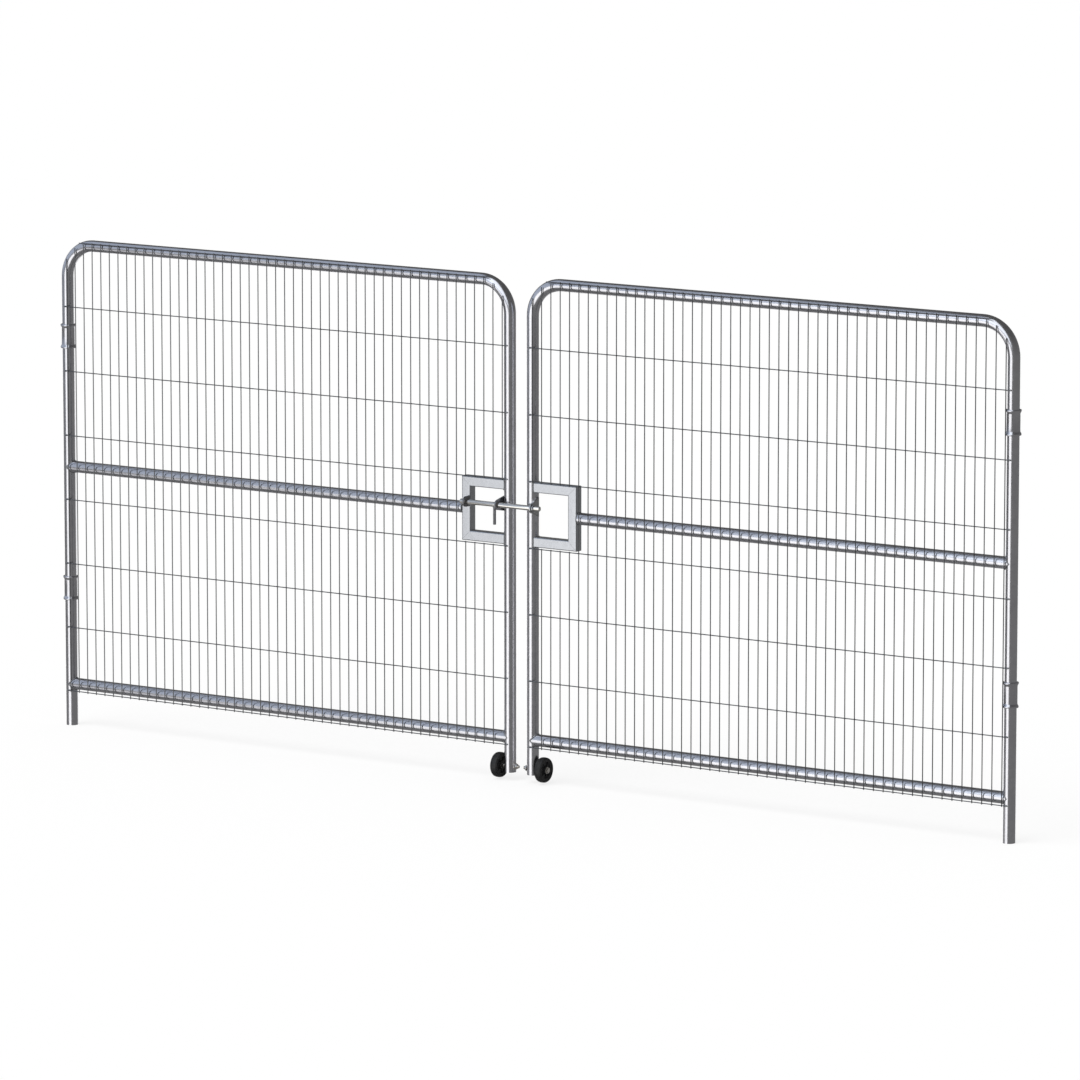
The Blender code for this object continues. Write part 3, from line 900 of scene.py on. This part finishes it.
def makeBolt():
    tail, reach, drop = boltSet["tail"], boltSet["reach"], boltSet["handleDrop"]
    profile = [(radius, -tail + inset) for radius, inset in boltSet["tailEnd"]]
    profile += [(radius, reach - inset) for radius, inset in boltSet["tipEnd"]]
    bar = turnedPiece("slideBoltBar", profile, onBolt(gate["leftMeetingX"]), "X",
                      boltSet["barSides"])
    fit(bar, "slide_bolt", "zinc_fittings", platedSteel, "bolt_bar")
    top = onBolt(gate["leftMeetingX"] - boltSet["handleSetback"])
    profile = boltSet["handleTop"] + [(radius, inset - drop)
                                      for radius, inset in boltSet["handleEnd"]]
    handle = turnedPiece("slideBoltHandle", profile, top, "Z", boltSet["handleSides"])
    # the handle wears the dark lug zinc instead of the bar's bright plating, a painted shade on
    # the rod
    fit(handle, "slide_bolt", "zinc_fittings", lugZincPaintedShade, "bolt_handle")
    # weld where the handle meets the bar
    ring = []
    for turn in roundTurns(boltSet["collarSteps"]):
        x, y = boltSet["collar"] * cos(turn), boltSet["collar"] * sin(turn)
        below = sqrt(boltSet["radius"] ** 2 - y ** 2) + gate["seat"]
        ring.append((top[0] + x, top[1] + y, top[2] - below))
    collar = beadAlong("slideBoltBead", ring, boltSet["collarBead"], True)
    fit(collar, "slide_bolt", "zinc_fittings", weldZinc)


def footBeads(footX, welds):
    # upright beads beside the foot of a lug
    middle = atHeight(boltSet["height"])
    beads = []
    for shift, y, half in welds:
        line = [(footX + shift, y, z)
                for z in evenly(middle - half, middle + half, boltSet["beadSteps"])]
        beads.append(beadAlong("bead", line, boltSet["bead"]))
    return beads


def makeFootWelds():
    outerX, innerX, keeperX = lugFeet()
    left = footBeads(outerX, boltSet["outerWelds"]) + footBeads(innerX, boltSet["innerWelds"])
    fit(joinAll(left, "leftGuideBeads"), "left_leaf", "galvanised_section", weldZinc)
    right = footBeads(keeperX, boltSet["keeperWelds"])
    fit(joinAll(right, "rightKeeperBeads"), "right_leaf", "galvanised_section", weldZinc)


makeLugs()
makeBolt()
makeFootWelds()
print("bolt set made")

# flanged sleeves that the outer posts turn in, with their profile from one end to the middle
sleeve = {
    "profile": [(0.0247, 0.0480), (0.0255, 0.0490), (0.0291, 0.0490), (0.0307, 0.0483),
                (0.0315, 0.0466), (0.0315, 0.0432), (0.0308, 0.0418), (0.0286, 0.0370),
                (0.0274, 0.0354), (0.0270, 0.0334)],
    "sides": 48,
    "heights": {"lower": 0.568, "upper": 1.602},
}

for level, height in sleeve["heights"].items():
    for side, x in (("left", gate["leftHingeX"]), ("right", acrossGate(gate["leftHingeX"]))):
        ring = turnedPiece(f"{side}{level.title()}Sleeve", bothEnds(sleeve["profile"]),
                           (x, 0, atHeight(height)), "Z", sleeve["sides"])
        fit(ring, "root", "sleeve_steel", sleeveZinc, f"{side}_{level}_sleeve")
print("sleeves made")

# Wheels and their axle bolts. The hub and the tyre are given from one face to the middle, and
# the small rings from the face that they sit on.
wheel = {
    "width": 0.030,
    "gap": 0.0109,
    "height": 0.0555,
    "hub": [(0.0066, 0.0142), (0.0072, 0.0150), (0.0142, 0.0150), (0.0150, 0.0140),
            (0.0158, 0.0052), (0.0170, 0.0042), (0.0310, 0.0042), (0.0322, 0.0052),
            (0.0330, 0.0102), (0.0338, 0.0116), (0.0366, 0.0116), (0.0366, 0.0)],
    "hubSides": 48,
    "tyre": [(0.0369, 0.0120), (0.0400, 0.0128), (0.0425, 0.0144), (0.0446, 0.0150),
             (0.0466, 0.0142), (0.0482, 0.0120), (0.0492, 0.0088), (0.0498, 0.0050),
             (0.0500, 0.0)],
    "tyreSides": 72,
    "ribs": 6,
    "ribTurn": 0.35,
    "ribRadius": 0.0240,
    "ribSize": (0.0180, 0.0034, 0.0190),
    "ribEdge": 0.0008,
}

# The clear, cone, corner and face values shape a cone that turns down a hexagon's corners.
axle = {
    "radius": 0.006,
    "sides": 32,
    "core": 0.0002,
    "flats": 0.019,
    "clear": 0.02,
    "coneFoot": 0.0072,
    "coneRise": 0.005,
    "corner": (0.0002, 0.0014),
    "face": 0.0022,
    "coneTip": 0.0001,
    "headGap": 0.0005,
    "headHeight": 0.008,
    "headInside": 0.001,
    "nutHeight": 0.010,
    "washer": 0.0022,
    "threadFrom": 0.006,
    "threadTurns": 9,
    "threadPitch": 0.00125,
    "threadRoot": 0.0052,
    "groove": 0.00055,
    "crest": 0.00110,
    "threadEnd": 0.018,
    "endRadius": 0.0049,
    "endEdge": 0.0004,
    "nutBore": 0.0063,
    "boreSpan": (-0.01, 0.03),
    "skirtRing": [(0.0064, -0.0021), (0.0124, -0.0021), (0.0130, -0.0015), (0.0130, -0.0004),
                  (0.0126, 0.0), (0.0064, 0.0)],
    "washerRing": [(0.0064, 0.0003), (0.0068, 0.0), (0.0132, 0.0), (0.0136, 0.0004),
                   (0.0136, 0.0016), (0.0131, 0.0021), (0.0064, 0.0021)],
    "ringSides": 48,
    "spacer": [(0.0064, -0.0101), (0.0094, -0.0104), (0.0100, -0.0096), (0.0100, -0.0008),
               (0.0094, 0.0), (0.0064, -0.0003)],
    "spacerSides": 36,
}


def onAxle(x):
    return (x, 0, atHeight(wheel["height"]))


def makeHub(name, centreX):
    hub = turnedPiece(name, bothEnds(wheel["hub"]), onAxle(centreX), "X", wheel["hubSides"])
    # moulded ribs between the boss and the rim, on both faces
    centre = Vector(onAxle(0))
    ribs = []
    for i in range(wheel["ribs"]):
        rib = cubeBar("rib", Vector(onAxle(centreX)) + Vector((0, 0, wheel["ribRadius"])),
                      wheel["ribSize"])
        roundEdges(rib, lambda a, b: True, wheel["ribEdge"], 2)
        turn = Matrix.Rotation(2 * pi / wheel["ribs"] * i + wheel["ribTurn"], 4, "X")
        rib.data.transform(Matrix.Translation(centre) @ turn @ Matrix.Translation(-centre))
        ribs.append(closeUp(rib, angle=30))
    return joinAll([hub] + ribs, name)


def hexPiece(name, lowX, highX):
    # hexagon with the corners of its high end turned down
    corner = axle["flats"] / sqrt(3)
    bpy.ops.mesh.primitive_cylinder_add(vertices=6, radius=corner, depth=highX - lowX,
                                        location=onAxle((lowX + highX) / 2),
                                        rotation=(0, pi / 2, 0))
    piece = settle(bpy.context.object, name)
    core, clear, rise = axle["core"], corner + axle["clear"], axle["coneRise"]
    inset, drop = axle["corner"]
    profile = [(core, lowX - axle["clear"]), (clear - axle["coneFoot"], lowX - axle["clear"]),
               (clear, lowX + rise), (clear, highX - rise), (corner - inset, highX - drop),
               (corner - axle["face"], highX), (core, highX + axle["coneTip"])]
    cone = turnedPiece("coneShape", profile, onAxle(0), "X", axle["ringSides"])
    return closeUp(combine(piece, cone, "INTERSECT"), angle=25)


def makeAxle(headSeat, nutSeat):
    radius, core = axle["radius"], axle["core"]
    end = nutSeat + axle["threadEnd"]
    shank = [(core, headSeat - axle["headInside"]), (radius, headSeat - axle["headInside"]),
             (radius, nutSeat + axle["threadFrom"])]
    for i in range(axle["threadTurns"]):
        along = nutSeat + axle["threadFrom"] + i * axle["threadPitch"]
        shank += [(axle["threadRoot"], along + axle["groove"]), (radius, along + axle["crest"])]
    shank += [(axle["endRadius"], end - axle["endEdge"]), (core, end)]
    bolt = turnedPiece("leftWheelAxle", shank, onAxle(0), "X", axle["sides"])
    lowX, highX = headSeat - axle["headHeight"], headSeat - axle["washer"]
    # the crowned side of the head points away from the wheel
    head = flipAcross(hexPiece("head", lowX, highX), (lowX + highX) / 2)
    skirt = turnedPiece("skirt", axle["skirtRing"], onAxle(headSeat), "X", axle["ringSides"])
    return joinAll([bolt, head, skirt], "leftWheelAxle")


def makeNut(nutSeat):
    nut = hexPiece("leftWheelNut", nutSeat + axle["washer"], nutSeat + axle["nutHeight"])
    start, end = (onAxle(nutSeat + along) for along in axle["boreSpan"])
    hole = roundBar("holeShape", start, end, axle["nutBore"], axle["sides"])
    closeUp(combine(nut, hole), angle=25)
    washer = turnedPiece("washer", axle["washerRing"], onAxle(nutSeat), "X", axle["ringSides"])
    return joinAll([nut, washer], "leftWheelNut")


def makeWheelSet():
    post, radius = gate["leftMeetingX"], gate["tubeRadius"]
    farX = post - radius - wheel["gap"] - wheel["width"]
    centreX = farX + wheel["width"] / 2
    tyre = turnedPiece("leftWheelTyre", bothEnds(wheel["tyre"]), onAxle(centreX), "X",
                       wheel["tyreSides"])
    hub = makeHub("leftWheelHub", centreX)
    for piece, part, material in ((tyre, "tyre", blackRubber), (hub, "hub", blackHub)):
        other = mirrorOf(piece, "rightWheel" + part.title())
        for side, item in (("left", piece), ("right", other)):
            fit(item, side + "_wheel", "wheel_" + part, material, f"{side}_wheel_{part}")
    nutSeat = post + radius + gate["seat"]
    fittings = {
        "Axle": makeAxle(farX - axle["headGap"], nutSeat),
        "Nut": makeNut(nutSeat),
        "Spacer": turnedPiece("leftWheelSpacer", axle["spacer"],
                              onAxle(post - radius - gate["seat"]), "X", axle["spacerSides"]),
    }
    for name, piece in fittings.items():
        bothLeaves(piece, "Wheel" + name, "zinc_fittings", platedSteel, "wheel_" + name.lower())


makeWheelSet()
print("wheels made")

# Floor, light and camera. Panels stand on the wall of a round tent, by the angle about the
# upright and the angle above the level, in degrees.
studio = {
    "centre": (2.22, 0.0, 0.4),
    "floorSize": 60.0,
    "floorDrop": 0.0002,
    "floorColour": (0.86, 0.86, 0.86),
    "floorRoughness": 0.9,
    "floorGlow": 1.06,
    "floorShare": 0.75,
    "tentRadius": 14.0,
    "tentLow": 0.18,
    "tentHigh": 0.09,
    "tentFrom": -10.0,
    "tentSpan": 50.0,
    "panels": [
        {"turn": (-37.5, 8.0), "rise": (-34.0, 3.0), "soft": 3.5, "colour": (1.12, 1.12, 1.12)},
        {"turn": (-25.0, 26.0), "rise": (10.0, 76.0), "soft": 7.0, "colour": (1.04, 1.10, 1.18)},
        {"turn": (-74.0, -37.5), "rise": (-30.0, -17.0), "soft": 4.0,
         "colour": (0.50, 0.50, 0.52)},
        {"turn": (-109.0, -12.0), "rise": (0.0, 66.0), "soft": 12.0,
         "colour": (0.29, 0.34, 0.43)},
        {"turn": (-145.0, -110.0), "rise": (-36.0, -3.0), "soft": 4.0,
         "colour": (1.10, 1.10, 1.10)},
        {"turn": (-190.0, -152.0), "rise": (-42.0, 1.0), "soft": 4.0,
         "colour": (0.75, 0.75, 0.75)},
    ],
    "worldStrength": 0.55,
    "sunEnergy": 1.5,
    "sunAngle": 40.0,
    "sunTurn": (28.0, -14.0, 0.0),
    "cameraAzimuth": 33.0,
    "cameraElevation": 9.3475,
    "cameraDistance": 28.7666,
    "cameraTarget": (2.3077, -0.0014, 0.4488),
    "cameraReach": 200.0,
    "lens": 245.81,
    "sensor": 36.0,
}


def seenRay(tree):
    # 1 for rays from the camera, and for those that come by way of metal or glass
    path = tree.nodes.new("ShaderNodeLightPath")
    seen = Field(tree, path.outputs["Is Camera Ray"])
    for name in ("Is Glossy Ray", "Is Transmission Ray"):
        seen = seen.maths("MAXIMUM", Field(tree, path.outputs[name]))
    return seen


def makeFloor():
    x, y, z = studio["centre"]
    bpy.ops.mesh.primitive_plane_add(size=studio["floorSize"],
                                     location=(x, y, gate["feetZ"] - studio["floorDrop"]))
    floor = settle(bpy.context.object, "studioFloor")
    finish = Finish("studioFloor", roughness=studio["floorRoughness"])
    finish.give("Base Color", studio["floorColour"])
    finish.give("Specular IOR Level", 0.0)
    glow = finish.node("ShaderNodeEmission", {"Color": (1.0, 1.0, 1.0),
                                              "Strength": studio["floorGlow"]})
    share = seenRay(finish.tree) * studio["floorShare"]
    plain = Field(finish.tree, finish.shader.outputs[0])
    finish.show(finish.node("ShaderNodeMixShader", {0: share, 1: plain, 2: glow}))
    dress(floor, finish.material)
    floor.visible_glossy = False


def makeTent():
    # a grey tent with lit panels, which only the metal sees
    centre, radius = studio["centre"], studio["tentRadius"]
    bpy.ops.mesh.primitive_uv_sphere_add(segments=48, ring_count=24, radius=radius,
                                         location=centre)
    tent = settle(bpy.context.object, "studioTent")
    finish = Finish("studioTent")
    place = finish.node("ShaderNodeSeparateXYZ", {"Vector": finish.place}).socket.node.outputs
    x, y, z = (Field(finish.tree, place[axis]) - shift for axis, shift in zip("XYZ", centre))
    turn = x.maths("ARCTAN2", 0.0 - y) * degrees(1)
    rise = (z / radius).maths("ARCSINE") * degrees(1)
    low, high = studio["tentLow"], studio["tentHigh"]
    wall = low + ((rise - studio["tentFrom"]) / studio["tentSpan"]).held() * (high - low)
    light = [wall, wall, wall]
    for panel in studio["panels"]:
        soft = panel["soft"]
        patch = turn.between(*panel["turn"], soft) * rise.between(*panel["rise"], soft)
        light = [patch * share + sofar for share, sofar in zip(panel["colour"], light)]
    colour = finish.node("ShaderNodeCombineColor", dict(zip(("Red", "Green", "Blue"), light)))
    finish.show(finish.node("ShaderNodeEmission", {"Color": colour, "Strength": 1.0}))
    dress(tent, finish.material)
    for flag in ("camera", "diffuse", "transmission", "volume_scatter", "shadow"):
        setattr(tent, "visible_" + flag, False)


def makeWorld():
    world = bpy.data.worlds.new("studioWorld")
    bpy.context.scene.world = world
    world.use_nodes = True
    background = world.node_tree.nodes["Background"]
    background.inputs["Color"].default_value = (1, 1, 1, 1)
    base = studio["worldStrength"]
    level = seenRay(world.node_tree) * (1 - base) + base
    plugIn(world.node_tree, background.inputs["Strength"], level)


def makeSun():
    lamp = bpy.data.lights.new("topSoftLight", "SUN")
    lamp.energy = studio["sunEnergy"]
    lamp.angle = radians(studio["sunAngle"])
    item = addToScene("topSoftLight", lamp)
    item.rotation_euler = [radians(value) for value in studio["sunTurn"]]
    item.visible_glossy = False


def makeCamera():
    azimuth, elevation = radians(studio["cameraAzimuth"]), radians(studio["cameraElevation"])
    back = Vector((sin(azimuth) * cos(elevation), -cos(azimuth) * cos(elevation),
                   sin(elevation)))
    camera = addToScene("photoCamera", bpy.data.cameras.new("photoCamera"))
    camera.data.lens = studio["lens"]
    camera.data.sensor_width = studio["sensor"]
    camera.data.clip_end = studio["cameraReach"]
    camera.location = Vector(studio["cameraTarget"]) + back * studio["cameraDistance"]
    camera.rotation_euler = (-back).to_track_quat("-Z", "Y").to_euler()
    bpy.context.scene.camera = camera


makeFloor()
makeTent()
makeWorld()
makeSun()
makeCamera()
bpy.context.scene.view_settings.view_transform = "Standard"
